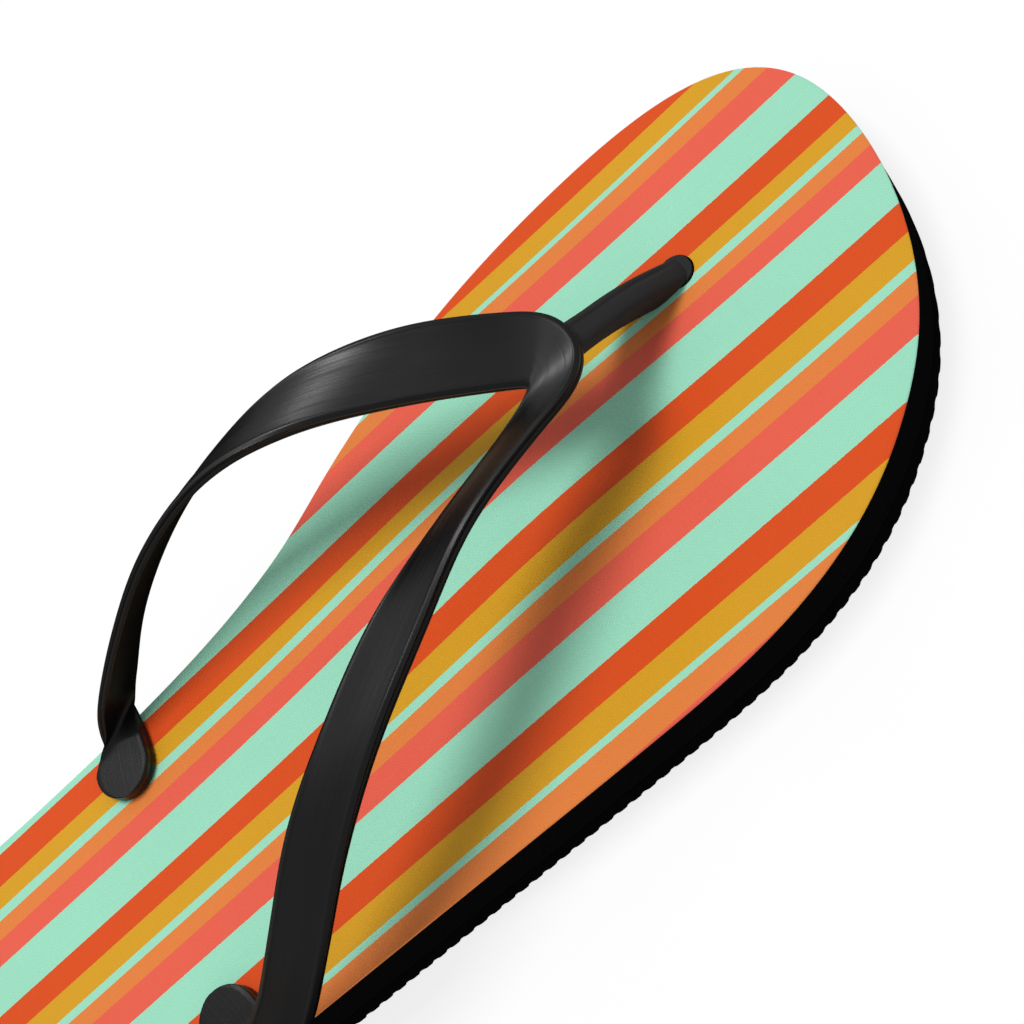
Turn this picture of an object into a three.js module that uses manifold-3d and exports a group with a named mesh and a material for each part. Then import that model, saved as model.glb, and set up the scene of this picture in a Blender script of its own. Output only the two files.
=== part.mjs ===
// A right-foot flip flop: a treaded rubber outsole, a foam footbed and a printed fabric cover,
// with a moulded V strap and a toe post whose buttons are pulled through three holes.
// Millimetres, +Z up, +Y towards the toe, +X towards the little toe.
import * as THREE from 'three';
import { mergeVertices } from 'three/addons/utils/BufferGeometryUtils.js';
import Module from 'manifold-3d';

const wasm = await Module();
wasm.setup();

// ---- Sole outline, measured from the toe post hole: across is +X, reach is +Y, setback is -Y ----
const toeReach = 41.8; // toe tip, ahead of the hole
const toeTipAcross = -5.5;
const cornerAcross = 47.5; // rounded little-toe corner
const cornerReach = 18.2;
const cornerTurn = 49; // degrees that the edge has turned by there
const ballLateral = 68.1; // widest point on the little-toe side
const ballLateralSetback = 44;
const ballMedial = 34.7; // widest point on the big-toe side
const ballMedialSetback = 5;
const archMedial = 18; // big-toe side, where the ball narrows to the waist
const archSetback = 86.7;
const archTurn = 22.4; // degrees between that stretch of edge and the sole's length
const waistMedial = 8.8; // narrowest point on the big-toe side
const waistSetback = 169;
const heelMedial = 9.4;
const heelLateral = 64.4;
const heelSetback = 202; // where the heel starts to round
const heelEndAcross = 27.5;
const heelReach = 243.2; // heel end, behind the hole
const edgeSteps = 9; // straight steps along each stretch of the outline

// ---- Layers ----
const outsoleThickness = 5;
const footbedThickness = 9.5;
const coverThickness = 0.5;
const treadDepth = 0.7;
const treadPitch = 3.3;
const toeLand = 4.15; // plain tread between the toe tip and the first groove's middle
const grooveWidth = 1.5; // at the tread face
const grooveFloorWidth = 0.8;

// ---- Holes and buttons ----
const medialHoleSetback = 144; // side holes, behind the toe post hole
const lateralHoleSetback = 147;
const medialHoleInset = 8; // and in from the waist and heel edges
const lateralHoleInset = 8;
const neckRadius = 3.2; // strap necks that pass through the sole
const buttonRadius = 6.3;
const buttonThickness = 2.4;
const buttonRecess = 0.9; // button face, above the tread face
const holeClearance = 0.35;
const seatGap = 0.3; // strap to fabric, and post to yoke
const roundSteps = 24;
const cornerSteps = 3;
const weldDistance = 1e-4; // corners nearer than this are one
const cutOvershoot = 1; // cutting tools run past the faces that they open
const plugOverlap = 0.5; // a neck's bite into its button

// ---- V strap ----
const yokeAcross = 15.5; // notch of the V
const yokeSetback = 32.5;
const strapThickness = 2;
const paddleThickness = 3;
const strapBevel = 0.6;
const stepsPerStation = 4;
const paddleRadius = 6.4; // rounded end of each paddle, round its hole
const paddleTurn = 15; // degrees between a paddle and the sole's width
const paddleEndAngles = [35, 62, 80]; // degrees round the paddle's end
const paddleBlend = 2; // stations over which a paddle thins to the strap

// ---- Toe post: level cuts of a tongue that leans back from its hole to the yoke ----
const postFootWidth = 6.8; // between the toes, at the fabric
const postFootLength = 11.2; // along the sole, at the fabric
const postHeadWidth = 7.6; // under the yoke
const postHeadLength = 12.2;
const postCorner = 2.9;
const postFootSetback = 3.7; // middle of its foot, behind the middle of its hole
const postHeadInset = 6.8; // middle of its head, back from the yoke's front edge
const postHeadShift = 3.1; // middle of its head, towards the big toe from the yoke's middle
const postBowAcross = 1.1; // how far its middle bows towards the big toe
const postBowAhead = 0.6; // and towards the tip
const postNeckRise = 1; // how far its neck runs up inside it
const postSteps = 10;

const soleTop = outsoleThickness + footbedThickness + coverThickness;
const toeHole = new THREE.Vector2(0, 0);
const medialHole = new THREE.Vector2(medialHoleInset - waistMedial, -medialHoleSetback);
const lateralHole = new THREE.Vector2(heelLateral - lateralHoleInset, -lateralHoleSetback);
const holes = [toeHole, medialHole, lateralHole];
const yokeNotch = new THREE.Vector2(yokeAcross, -yokeSetback);

// Each station crosses the strap from its inner edge, nearest the foot's ankle, to its outer edge.
// 'along' places it between the notch of the V (0) and the side hole (1); each edge then stands
// off that place by [across, ahead] and rises above the fabric.
const yokeStations = [
  { along: 0, inner: [-1.3, 0.4, 24.9], outer: [-13, 8.4, 25.2] },
  { along: 0, inner: [-0.5, 0.4, 24.7], outer: [-7.2, 12.6, 24.8] },
  { along: 0, inner: [0, 0, 24.6], outer: [-0.4, 13, 24.2] },
  { along: 0, inner: [0.4, -0.7, 24.4], outer: [4.8, 9.6, 25.4] },
  { along: 0, inner: [0.7, -2, 24.1], outer: [8, 4.6, 27.2] },
];
const medialStations = [
  { along: 0.12, inner: [-9.4, -3.7, 31.1], outer: [-22.2, 3.4, 32] },
  { along: 0.3, inner: [-15.2, -2.1, 36.4], outer: [-27.8, 2.1, 32.8] },
  { along: 0.48, inner: [-18.3, -0.4, 36.5], outer: [-27.4, 1.5, 28.5] },
  { along: 0.64, inner: [-17.2, -1.9, 30.6], outer: [-25.2, 2.1, 22.4] },
  { along: 0.8, inner: [-12.8, -1.5, 21.4], outer: [-20.6, 2.8, 13.7] },
  { along: 1, inner: [-7, 4.8, 10.7], outer: [-14, 11.3, 3.4] },
  { along: 1, inner: [-7.1, 0.6, 4.8], outer: [-12.3, 8.5, 2.4] },
  { along: 1, inner: [-4.8, -3.4, 2.1], outer: [-5.8, 7.4, 2] },
];
const lateralStations = [
  { along: 0.04, inner: [0.3, -2.7, 22.9], outer: [8.1, 4.3, 29.2] },
  { along: 0.2, inner: [1.6, -2.9, 27.5], outer: [10.6, 4.4, 35.7] },
  { along: 0.35, inner: [4.2, -1.5, 33.1], outer: [14.9, 4.5, 36.5] },
  { along: 0.5, inner: [7.7, -0.9, 33.8], outer: [18.3, 4.7, 35.4] },
  { along: 0.64, inner: [10.3, -0.1, 31.4], outer: [20.6, 4.6, 29.6] },
  { along: 0.78, inner: [12.1, 0.6, 23.3], outer: [20.7, 6.6, 20.9] },
  { along: 1, inner: [6.3, 11.7, 12.5], outer: [15.3, 16.3, 9.5] },
  { along: 1, inner: [6.7, 1, 6.8], outer: [12.3, 9.1, 5.3] },
  { along: 1, inner: [4.6, -5.5, 2.3], outer: [6.6, 7.9, 2.1] },
];

// ---- Helpers ----
const radians = THREE.MathUtils.degToRad;

function solidOf(geometry) {
  const bare = geometry.clone();
  bare.deleteAttribute('normal');
  bare.deleteAttribute('uv');
  const merged = mergeVertices(bare, weldDistance);
  const mesh = new wasm.Mesh({
    numProp: 3,
    vertProperties: Float32Array.from(merged.attributes.position.array),
    triVerts: Uint32Array.from(merged.index.array),
  });
  return new wasm.Manifold(mesh);
}

function geometryOf(solid) {
  const mesh = solid.getMesh();
  const geometry = new THREE.BufferGeometry();
  geometry.setAttribute('position', new THREE.BufferAttribute(mesh.vertProperties, 3));
  geometry.setIndex(new THREE.BufferAttribute(mesh.triVerts, 1));
  geometry.computeVertexNormals();
  return geometry;
}

function namedMesh(name, solid, color, roughness) {
  const material = new THREE.MeshStandardMaterial({ color, roughness, metalness: 0 });
  const mesh = new THREE.Mesh(geometryOf(solid), material);
  mesh.name = name;
  return mesh;
}

// A closed skin over rings of equal length, with a fan over each end.
function loft(rings) {
  const size = rings[0].length;
  const points = rings.flat();
  const corners = [];
  for (let ring = 0; ring + 1 < rings.length; ring += 1) {
    for (let side = 0; side < size; side += 1) {
      const next = (side + 1) % size;
      const near = ring * size;
      const far = near + size;
      corners.push(near + side, near + next, far + next);
      corners.push(near + side, far + next, far + side);
    }
  }
  const last = (rings.length - 1) * size;
  for (let side = 1; side + 1 < size; side += 1) {
    corners.push(0, side + 1, side);
    corners.push(last, last + side, last + side + 1);
  }
  const geometry = new THREE.BufferGeometry().setFromPoints(points);
  geometry.setIndex(corners);
  return geometry;
}

function discShape(centre, radius) {
  const shape = new THREE.Shape();
  shape.absarc(centre.x, centre.y, radius, 0, 2 * Math.PI, false);
  return shape;
}

function slab(shape, bottom, thickness) {
  const geometry = new THREE.ExtrudeGeometry(shape, {
    depth: thickness,
    bevelEnabled: false,
    curveSegments: edgeSteps,
  });
  return solidOf(geometry.translate(0, 0, bottom));
}

function post(centre, radius, bottom, height) {
  const geometry = new THREE.CylinderGeometry(radius, radius, height, roundSteps);
  geometry.rotateX(Math.PI / 2);
  return solidOf(geometry.translate(centre.x, centre.y, bottom + height / 2));
}

// ---- Sole ----
// Knots of the outline, clockwise from the toe tip. 'heading' is the edge's direction in degrees;
// 'before' and 'after' are how far it keeps to that direction on each side of the knot.
const outlineKnots = [
  { at: [toeTipAcross, toeReach], heading: 0, before: 24.8, after: 16.4 },
  { at: [cornerAcross, cornerReach], heading: -cornerTurn, before: 20.6, after: 24.3 },
  { at: [ballLateral, -ballLateralSetback], heading: -90, before: 25, after: 24 },
  { at: [heelLateral, -heelSetback], heading: -90, before: 60, after: 23 },
  { at: [heelEndAcross, -heelReach], heading: -180, before: 19, after: 19 },
  { at: [-heelMedial, -heelSetback], heading: -270, before: 23, after: 11 },
  { at: [-waistMedial, -waistSetback], heading: -270, before: 11, after: 28.7 },
  { at: [-archMedial, -archSetback], heading: archTurn - 270, before: 23.1, after: 28.7 },
  { at: [-ballMedial, -ballMedialSetback], heading: -270, before: 31.2, after: 25.4 },
];

function soleShape() {
  const shape = new THREE.Shape();
  const handle = (knot, reach) => [
    knot.at[0] + reach * Math.cos(radians(knot.heading)),
    knot.at[1] + reach * Math.sin(radians(knot.heading)),
  ];
  shape.moveTo(...outlineKnots[0].at);
  outlineKnots.forEach((knot, index) => {
    const next = outlineKnots[(index + 1) % outlineKnots.length];
    shape.bezierCurveTo(...handle(knot, knot.after), ...handle(next, -next.before), ...next.at);
  });
  return shape;
}

function drilled(layer, bottom, thickness, radius) {
  return holes.reduce(
    (left, hole) => left.subtract(
      post(hole, radius, bottom - cutOvershoot, thickness + 2 * cutOvershoot),
    ),
    layer,
  );
}

// One long comb, cut from side to side, that leaves the tread's cross ribs.
function treadGrooves() {
  const across = ballLateral + ballMedial + 2 * cutOvershoot;
  const middle = (ballLateral - ballMedial) / 2;
  const firstGroove = toeReach - toeLand;
  const count = Math.floor((toeReach + heelReach - toeLand) / treadPitch);
  const groove = new THREE.Shape();
  groove.moveTo(-grooveWidth / 2, -cutOvershoot);
  groove.lineTo(grooveWidth / 2, -cutOvershoot);
  groove.lineTo(grooveWidth / 2, 0);
  groove.lineTo(grooveFloorWidth / 2, treadDepth);
  groove.lineTo(-grooveFloorWidth / 2, treadDepth);
  groove.lineTo(-grooveWidth / 2, 0);
  const bar = new THREE.ExtrudeGeometry(groove, { depth: across, bevelEnabled: false });
  bar.rotateX(Math.PI / 2);
  bar.rotateZ(Math.PI / 2);
  bar.translate(middle - across / 2, 0, 0);
  const bars = [];
  for (let index = 0; index < count; index += 1) {
    bars.push(solidOf(bar.clone().translate(0, firstGroove - treadPitch * index, 0)));
  }
  return wasm.Manifold.union(bars);
}

function outsole() {
  const seatRadius = buttonRadius + holeClearance;
  const seatDepth = buttonRecess + buttonThickness + holeClearance;
  const body = slab(soleShape(), 0, outsoleThickness).subtract(treadGrooves());
  const through = drilled(body, 0, outsoleThickness, neckRadius + holeClearance);
  return holes.reduce(
    (left, hole) => left.subtract(
      post(hole, seatRadius, -cutOvershoot, seatDepth + cutOvershoot),
    ),
    through,
  );
}

function footbed() {
  const layer = slab(soleShape(), outsoleThickness, footbedThickness);
  return drilled(layer, outsoleThickness, footbedThickness, neckRadius + holeClearance);
}

function fabricCover() {
  const bottom = outsoleThickness + footbedThickness;
  const layer = slab(soleShape(), bottom, coverThickness);
  return drilled(layer, bottom, coverThickness, neckRadius + holeClearance);
}

// ---- Strap ----
// A neck that runs down from 'top' to a round button in its recess under the sole.
function plug(hole, top) {
  const buttonTop = buttonRecess + buttonThickness;
  const neckBottom = buttonTop - plugOverlap;
  const button = post(hole, buttonRadius, buttonRecess, buttonThickness);
  return button.add(post(hole, neckRadius, neckBottom, top - neckBottom));
}

function stationEdges(station, hole) {
  const place = yokeNotch.clone().lerp(hole, station.along);
  const edge = ([across, ahead, rise]) =>
    new THREE.Vector3(place.x + across, place.y + ahead, soleTop + rise);
  return [edge(station.inner), edge(station.outer)];
}

// The rounded end of a paddle, from the middle of its hole outwards.
function paddleEndEdges(hole, side) {
  const rise = soleTop + seatGap + paddleThickness / 2;
  const turn = radians(paddleTurn);
  const ahead = new THREE.Vector3(side * Math.cos(turn), -Math.sin(turn), 0);
  const outward = new THREE.Vector3(side * Math.sin(turn), Math.cos(turn), 0);
  const centre = new THREE.Vector3(hole.x, hole.y, rise);
  return [0, ...paddleEndAngles].map((angle) => {
    const middle = centre.clone().addScaledVector(ahead, paddleRadius * Math.sin(radians(angle)));
    const half = paddleRadius * Math.cos(radians(angle));
    return [-half, half].map((offset) => middle.clone().addScaledVector(outward, offset));
  });
}

function strapRails() {
  const medial = medialStations.map((station) => stationEdges(station, medialHole));
  const lateral = lateralStations.map((station) => stationEdges(station, lateralHole));
  const yoke = yokeStations.map((station) => stationEdges(station, medialHole));
  medial.push(...paddleEndEdges(medialHole, 1));
  lateral.push(...paddleEndEdges(lateralHole, -1));
  return [...medial.reverse(), ...yoke, ...lateral];
}

function strapRing(inner, outer, travel, thickness) {
  const across = outer.clone().sub(inner);
  const half = across.length() / 2;
  across.normalize();
  const face = travel.clone().cross(across).normalize();
  const middle = inner.clone().add(outer).multiplyScalar(0.5);
  const bevel = Math.min(strapBevel, half / 2);
  const high = thickness / 2;
  const low = high - strapBevel;
  const flat = half - bevel;
  const corners = [
    [flat, high], [-flat, high], [-half, low], [-half, -low],
    [-flat, -high], [flat, -high], [half, -low], [half, low],
  ];
  return corners.map(([out, up]) =>
    middle.clone().addScaledVector(across, out).addScaledVector(face, up));
}

function strapBand() {
  const rails = strapRails();
  const inner = new THREE.CatmullRomCurve3(rails.map((pair) => pair[0]), false, 'catmullrom', 0.5);
  const outer = new THREE.CatmullRomCurve3(rails.map((pair) => pair[1]), false, 'catmullrom', 0.5);
  const steps = (rails.length - 1) * stepsPerStation;
  const middleAt = (u) => inner.getPoint(u).add(outer.getPoint(u)).multiplyScalar(0.5);
  const paddleSpan = (paddleEndAngles.length + paddleBlend) * stepsPerStation;
  const rings = [];
  for (let step = 0; step <= steps; step += 1) {
    const u = step / steps;
    const travel = middleAt(Math.min(1, u + 0.5 / steps)).sub(middleAt(Math.max(0, u - 0.5 / steps)));
    const fromEnd = Math.min(step, steps - step);
    const blend = THREE.MathUtils.smoothstep(fromEnd, paddleSpan / 2, paddleSpan);
    const thickness = THREE.MathUtils.lerp(paddleThickness, strapThickness, blend);
    rings.push(strapRing(inner.getPoint(u), outer.getPoint(u), travel, thickness));
  }
  return solidOf(loft(rings));
}

function vStrap() {
  const neckTop = soleTop + seatGap + paddleThickness / 2;
  return strapBand().add(plug(medialHole, neckTop)).add(plug(lateralHole, neckTop));
}

// A level rectangle with rounded corners, round 'middle'.
function postRing(middle, halfWidth, halfLength) {
  const outline = new THREE.Shape();
  const across = halfWidth - postCorner;
  const ahead = halfLength - postCorner;
  const quarter = Math.PI / 2;
  const centres = [[across, ahead], [-across, ahead], [-across, -ahead], [across, -ahead]];
  centres.forEach(([x, y], turn) => {
    outline.absarc(x, y, postCorner, turn * quarter, (turn + 1) * quarter);
  });
  return outline.getPoints(cornerSteps).map((point) =>
    new THREE.Vector3(middle.x + point.x, middle.y + point.y, middle.z));
}

// The post's head stops under the lowest edge of the yoke's middle station.
function toePost() {
  const middleStation = yokeStations[Math.floor(yokeStations.length / 2)];
  const [inner, outer] = stationEdges(middleStation, medialHole);
  const underside = Math.min(inner.z, outer.z) - strapThickness / 2;
  const foot = new THREE.Vector3(toeHole.x, toeHole.y - postFootSetback, soleTop + seatGap);
  const head = outer.clone().lerp(inner, postHeadInset / outer.distanceTo(inner));
  head.x -= postHeadShift;
  head.z = underside - seatGap;
  const rings = [];
  for (let step = 0; step <= postSteps; step += 1) {
    const share = step / postSteps;
    const bow = Math.sin(Math.PI * share);
    const middle = foot.clone().lerp(head, share);
    middle.x -= postBowAcross * bow;
    middle.y += postBowAhead * bow;
    const width = THREE.MathUtils.lerp(postFootWidth, postHeadWidth, share);
    const length = THREE.MathUtils.lerp(postFootLength, postHeadLength, share);
    rings.push(postRing(middle, width / 2, length / 2));
  }
  return solidOf(loft(rings)).add(plug(toeHole, foot.z + postNeckRise));
}

const flipFlop = new THREE.Group();
flipFlop.add(namedMesh('outsole', outsole(), 0x0c0c0d, 0.85));
flipFlop.add(namedMesh('footbed', footbed(), 0x101011, 0.9));
flipFlop.add(namedMesh('fabric_cover', fabricCover(), 0xa3e7c9, 0.9));
flipFlop.add(namedMesh('v_strap', vStrap(), 0x1b1b1c, 0.4));
flipFlop.add(namedMesh('toe_post', toePost(), 0x1b1b1c, 0.4));

// The origin lies under the middle of the whole shoe, at the level of the tread face.
const extent = new THREE.Box3().setFromObject(flipFlop);
const middle = extent.getCenter(new THREE.Vector3());
flipFlop.position.set(-middle.x, -middle.y, -extent.min.z);

export default flipFlop;
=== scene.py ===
import math

import bmesh
import bpy
import numpy as np
from bpy.props import FloatProperty, FloatVectorProperty, PointerProperty
from mathutils import Matrix, Vector
from mathutils.bvhtree import BVHTree


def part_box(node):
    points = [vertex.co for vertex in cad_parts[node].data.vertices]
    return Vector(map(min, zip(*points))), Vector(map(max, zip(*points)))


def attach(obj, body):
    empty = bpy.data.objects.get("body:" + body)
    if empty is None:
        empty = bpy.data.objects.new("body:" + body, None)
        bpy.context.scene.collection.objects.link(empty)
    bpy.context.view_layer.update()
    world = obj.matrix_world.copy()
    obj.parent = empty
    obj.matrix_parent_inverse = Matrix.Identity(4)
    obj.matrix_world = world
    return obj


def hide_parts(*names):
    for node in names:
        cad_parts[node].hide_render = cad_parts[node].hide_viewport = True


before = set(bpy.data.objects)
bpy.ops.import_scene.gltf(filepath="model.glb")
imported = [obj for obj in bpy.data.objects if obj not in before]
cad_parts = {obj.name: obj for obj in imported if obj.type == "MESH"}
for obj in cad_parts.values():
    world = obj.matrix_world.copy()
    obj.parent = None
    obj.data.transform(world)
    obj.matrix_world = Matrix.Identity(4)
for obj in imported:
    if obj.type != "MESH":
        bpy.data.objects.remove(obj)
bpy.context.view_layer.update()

bl_info = {
    "name": "Striped Flip Flop",
    "version": (1, 0, 0),
    "blender": (4, 5, 0),
    "location": "View3D > Sidebar > Flip Flop",
    "description": "A right-foot flip flop with a printed canvas footbed and a moulded V strap",
    "category": "Add Mesh",
}

MM = 0.001
LEVEL = 0.05 * MM  # points nearer than this in height lie on one face

# Places are given from the middle of the toe post's hole: across (towards the little toe),
# ahead (towards the toe tip) and rise (above the cover), in millimetres.
TOE_HOLE = (0.0, 0.0)
MEDIAL_HOLE = (-0.8, -144.0)
LATERAL_HOLE = (56.4, -147.0)
HOLES = (TOE_HOLE, MEDIAL_HOLE, LATERAL_HOLE)
YOKE_NOTCH = (15.5, -32.5)

# Each station crosses the strap from its inner edge, nearest the ankle, to its outer edge:
# share of the way from the notch to the side hole, then how far each edge stands off that place.
YOKE_STATIONS = (
    (0.0, (-1.3, 0.4, 24.9), (-13.0, 8.4, 25.2)),
    (0.0, (-0.5, 0.4, 24.7), (-7.2, 12.6, 24.8)),
    (0.0, (0.0, 0.0, 24.6), (-0.4, 13.0, 24.2)),
    (0.0, (0.4, -0.7, 24.4), (4.8, 9.6, 25.4)),
    (0.0, (0.7, -2.0, 24.1), (8.0, 4.6, 27.2)),
)
MEDIAL_STATIONS = (
    (0.12, (-9.4, -3.7, 31.1), (-22.2, 3.4, 32.0)),
    (0.3, (-15.2, -2.1, 36.4), (-27.8, 2.1, 32.8)),
    (0.48, (-18.3, -0.4, 36.5), (-27.4, 1.5, 28.5)),
    (0.64, (-17.2, -1.9, 30.6), (-25.2, 2.1, 22.4)),
    (0.8, (-12.8, -1.5, 21.4), (-20.6, 2.8, 13.7)),
    (1.0, (-7.0, 4.8, 10.7), (-14.0, 11.3, 3.4)),
    (1.0, (-7.1, 0.6, 4.8), (-12.3, 8.5, 2.4)),
    (1.0, (-4.8, -3.4, 2.1), (-5.8, 7.4, 2.0)),
)
LATERAL_STATIONS = (
    (0.04, (0.3, -2.7, 22.9), (8.1, 4.3, 29.2)),
    (0.2, (1.6, -2.9, 27.5), (10.6, 4.4, 35.7)),
    (0.35, (4.2, -1.5, 33.1), (14.9, 4.5, 36.5)),
    (0.5, (7.7, -0.9, 33.8), (18.3, 4.7, 35.4)),
    (0.64, (10.3, -0.1, 31.4), (20.6, 4.6, 29.6)),
    (0.78, (12.1, 0.6, 23.3), (20.7, 6.6, 20.9)),
    (1.0, (6.3, 11.7, 12.5), (15.3, 16.3, 9.5)),
    (1.0, (6.7, 1.0, 6.8), (12.3, 9.1, 5.3)),
    (1.0, (4.6, -5.5, 2.3), (6.6, 7.9, 2.1)),
)

# The print's stripes from the big-toe side: ink, and where its band ends across the ball.
STRIPES = (
    ("red_ink", -30.1), ("gold_ink", -26.1), ("mint_ink", -24.7), ("orange_ink", -21.0),
    ("coral_ink", -15.4), ("mint_ink", -6.4), ("red_ink", -1.2), ("gold_ink", 2.8),
    ("mint_ink", 4.4), ("orange_ink", 8.0), ("coral_ink", 12.3), ("mint_ink", 20.7),
    ("red_ink", 26.7), ("gold_ink", 31.3), ("mint_ink", 33.2), ("orange_ink", 37.5),
    ("coral_ink", 42.7), ("mint_ink", 51.1), ("red_ink", 56.8), ("gold_ink", 61.4),
    ("mint_ink", 62.8), ("orange_ink", 66.8), ("coral_ink", 80.0),
)
PRINT_SPAN = (-60.0, 100.0)  # across, the part of the cloth that the ramp of inks covers

# How finely each piece is drawn: the step along it and the points across it.
OUTSOLE_STEP, OUTSOLE_COLUMNS = 0.4 * MM, 26
FOOTBED_STEP, FOOTBED_COLUMNS = 1.6 * MM, 20
COVER_STEP, COVER_COLUMNS = 1.4 * MM, 64
SPAN_STEPS = 40  # steps from one station to the next
STRAP_STEP = 0.75  # millimetres between the strap's cross-sections
SOFT_REACH = 5  # cross-sections over which the strap's small kinks are smoothed

# The strap's ends and margins, in millimetres and degrees.
FOOT_GUIDES = (0.0, 35.0, 62.0, 80.0)  # round a foot's end, to steer the curve into it
FOOT_END = (12, 24, 35, 45, 54, 62, 69, 75, 80, 84, 87.5)  # cross-sections round that end
SOFT_ZONE = (2.0, 12.0)  # distance from the end over which the smoothing sets in
FOOT_ZONE = (4.0, 17.0)  # distance from the end over which the foot becomes the arm
FOOT_SINK = 0.26  # how much lower than its stations a foot lies
MARGIN = (0.0, 0.14, 0.34, 0.62, 0.95, 1.15, 1.32, 1.5, 1.8, 2.4, 3.2, 4.2)
MARGIN_ROOM = 4.8  # half width under which the margin's points close up
WALL_ROOM = 1.2  # half width under which the side wall's relief fades
WALL_RELIEF = (0.0, 0.0, -0.17, 0.0, 0.0, -0.08, -0.32)  # down the side wall, outwards
UNDER_HOLLOW = 0.12  # hollow of an arm's underside

# The toe post's middle at both ends and its shape between them.
POST_FOOT = (0.0, -3.7, 0.05)  # from the toe post's hole
POST_HEAD = (-3.3, 6.2)  # from the yoke's notch
POST_HEAD_RISE = 23.02
POST_BOW = (-1.1, 0.6)
POST_SQUARENESS = 0.62  # 1 for an ellipse, smaller for squarer corners
CREASE_PLACE, CREASE_SPREAD, CREASE_DEPTH = 0.42, 0.17, 0.8
YOKE_CLEARANCE = 0.03  # between the post's top and the yoke's underside

LENS, SENSOR = 58.4, 36.0
VIEW_PLACE = (0.16321, 0.09744, 0.26665)
VIEW_RIGHT = (0.4959, 0.7309, -0.4688)
VIEW_UP = (-0.6754, 0.664, 0.3209)
AIM = (-0.03, 0.0, 0.03)
# Name, place, size, power, and whether it only shines on glossy surfaces.
LAMPS = (
    ("overhead", (-0.16, 0.0, 0.97), 0.34, 5.6, False),
    ("side_shine", (-0.76, 0.0, 0.68), 0.12, 2.5, True),
    ("top_shine", (-0.25, 0.24, 0.95), 0.06, 0.25, True),
    ("heel_shine", (-0.52, -0.28, 0.85), 0.08, 1.2, True),
)


# ---------------------------------------------------------------- sizes and colours


def length(name, text, millimetres):
    """A length property, in metres."""
    return FloatProperty(
        name=name, description=text, default=millimetres * MM, min=0.0,
        unit="LENGTH", subtype="DISTANCE", precision=5,
    )


def colour(name, text, red, green, blue):
    """A colour property, in linear light."""
    return FloatVectorProperty(
        name=name, description=text, default=(red, green, blue), size=3,
        min=0.0, max=1.0, subtype="COLOR",
    )


class FlipFlopSole(bpy.types.PropertyGroup):
    """Sizes of the three sole layers."""

    ball_lateral: length("Ball", "From the toe post's hole to the little-toe edge", 68.1)
    toe_reach: length("Toe reach", "From the toe post's hole to the toe tip", 41.8)
    tread_depth: length("Tread depth", "How deep the cross grooves are", 0.7)
    tread_pitch: length("Tread pitch", "From one cross rib to the next", 3.3)
    toe_land: length("Toe land", "Plain tread ahead of the first groove's middle", 4.15)
    edge_round: length("Edge round", "Rounding of the moulded bottom edge", 0.45)
    glue_line: length("Glue line", "Set-back of the joint between outsole and footbed", 0.3)
    cloth_round: length("Cloth edge", "Rounding of the cover's trimmed edge", 0.3)
    hole_radius: length("Hole radius", "Holes for the strap's necks", 3.55)
    recess_radius: length("Recess radius", "Round recesses for the buttons under the sole", 6.65)
    recess_depth: length("Recess depth", "Depth of those recesses above the tread face", 3.65)


class FlipFlopStrap(bpy.types.PropertyGroup):
    """Sizes of the V strap, its buttons and the toe post."""

    thickness: length("Thickness", "Thickness of the strap's arms", 2.0)
    paddle_thickness: length("Paddle thickness", "Thickness of the two feet", 3.0)
    paddle_radius: length("Paddle radius", "Rounded end of each foot", 6.4)
    bevel_width: length("Bevel width", "Sloping margin along each edge", 0.8)
    bevel_drop: length("Bevel drop", "How far that margin falls away", 0.4)
    dish_depth: length("Dish depth", "Hollow inside the rim of each foot", 0.75)
    crown: length("Crown", "Rise of the broad face along its middle", 0.15)
    neck_radius: length("Neck radius", "Necks that pass through the sole", 3.2)
    button_radius: length("Button radius", "Buttons that hold the necks", 6.3)
    button_thickness: length("Button thickness", "Thickness of a button", 2.4)
    button_recess: length("Button recess", "Button face above the tread face", 0.9)
    post_foot_width: length("Post foot width", "Toe post between the toes, at the cover", 6.8)
    post_foot_length: length("Post foot length", "Toe post along the sole, at the cover", 11.2)
    post_head_width: length("Post head width", "Toe post's width under the yoke", 7.6)
    post_head_length: length("Post head length", "Toe post's length under the yoke", 12.2)
    paddle_turn: FloatProperty(
        name="Paddle turn", description="Angle between a foot and the sole's width",
        default=math.radians(15), subtype="ANGLE",
    )


class FlipFlopFinish(bpy.types.PropertyGroup):
    """Colours and the scale of the surface detail."""

    mint_ink: colour("Mint", "Ground colour of the print", 0.366, 0.799, 0.584)
    red_ink: colour("Red orange", "Widest warm stripe", 0.776, 0.087, 0.013)
    gold_ink: colour("Gold", "Gold stripe", 0.745, 0.376, 0.019)
    orange_ink: colour("Orange", "Light orange stripe", 0.847, 0.242, 0.056)
    coral_ink: colour("Coral", "Coral stripe", 0.887, 0.133, 0.081)
    rubber: colour("Rubber", "Outsole rubber", 0.0018, 0.0018, 0.0019)
    foam: colour("Foam", "Footbed foam", 0.0022, 0.0022, 0.0023)
    vinyl: colour("Vinyl", "Strap and toe post", 0.003, 0.003, 0.0032)
    thread_pitch: length("Thread pitch", "From one thread of the canvas to the next", 0.42)


def hole_in_row_frame():
    """Middle of the toe post's hole at the top of the cover, in the row frame, in metres."""
    sole = bpy.context.scene.flip_flop_sole
    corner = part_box("outsole")[1]
    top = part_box("fabric_cover")[1].z
    return np.array([corner.x - sole.ball_lateral, corner.y - sole.toe_reach, top])


def placed(points):
    """Points given from the toe post's hole in millimetres, in the row frame in metres."""
    return np.asarray(points, float) * MM + hole_in_row_frame()


# ---------------------------------------------------------------- mesh helpers


def run_along(steps):
    """Distance from the start at each point, from the steps between the points."""
    return np.concatenate([[0.0], np.cumsum(steps)])


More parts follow.
